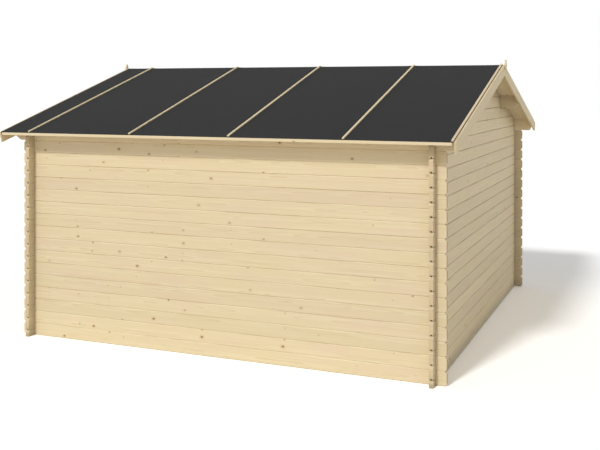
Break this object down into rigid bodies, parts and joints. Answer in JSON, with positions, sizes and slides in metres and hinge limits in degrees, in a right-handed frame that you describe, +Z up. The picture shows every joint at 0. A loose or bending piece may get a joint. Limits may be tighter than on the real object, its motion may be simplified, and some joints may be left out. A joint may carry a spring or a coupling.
{
  "type": "wooden garden shed",
  "caption": "Square log garden shed with interlocking log corners, low pitched gable roof of felted boards with battens, bargeboards and a boarded double door.",
  "frame": {"origin": "middle of the footprint, on the ground", "axes": "+Z up, +X along the ridge to the right as seen from the plain rear wall, +Y across the ridge towards the front wall with the door"},
  "size_m": [4.24, 4.204, 2.5459],
  "materials": {
    "wall_logs": "planed, untreated pale spruce",
    "purlins": "planed, untreated pale spruce",
    "roof_boards": "planed, untreated pale spruce",
    "roof_trim": "planed, untreated pale spruce",
    "roofing_felt": "matt bitumen felt with fine slate grit",
    "door_timber": "planed, untreated pale spruce",
    "door_ironwork": "matt black"
  },
  "bodies": {
    "root": {"door_handle": "door_ironwork", "door_head": "door_timber", "door_hinges": "door_ironwork", "door_threshold": "door_timber", "front_eave_fascia": "roof_trim", "front_eave_log": "wall_logs", "front_left_bargeboard": "roof_trim", "front_purlin": "purlins", "front_right_bargeboard": "roof_trim", "front_roof_battens": "roof_trim", "front_roof_deck": "roof_boards", "front_roof_felt": "roofing_felt", "front_wall_even_logs": "wall_logs", "front_wall_odd_logs": "wall_logs", "left_door_jamb": "door_timber", "left_door_leaf": "door_timber", "left_gable_even_logs": "wall_logs", "left_gable_finial": "roof_trim", "left_gable_odd_logs": "wall_logs", "rear_eave_fascia": "roof_trim", "rear_eave_log": "wall_logs", "rear_left_bargeboard": "roof_trim", "rear_purlin": "purlins", "rear_right_bargeboard": "roof_trim", "rear_roof_battens": "roof_trim", "rear_roof_deck": "roof_boards", "rear_roof_felt": "roofing_felt", "rear_wall_even_logs": "wall_logs", "rear_wall_odd_logs": "wall_logs", "ridge_purlin": "purlins", "right_door_jamb": "door_timber", "right_door_leaf": "door_timber", "right_gable_even_logs": "wall_logs", "right_gable_finial": "roof_trim", "right_gable_odd_logs": "wall_logs"}
  },
  "joints": []
}
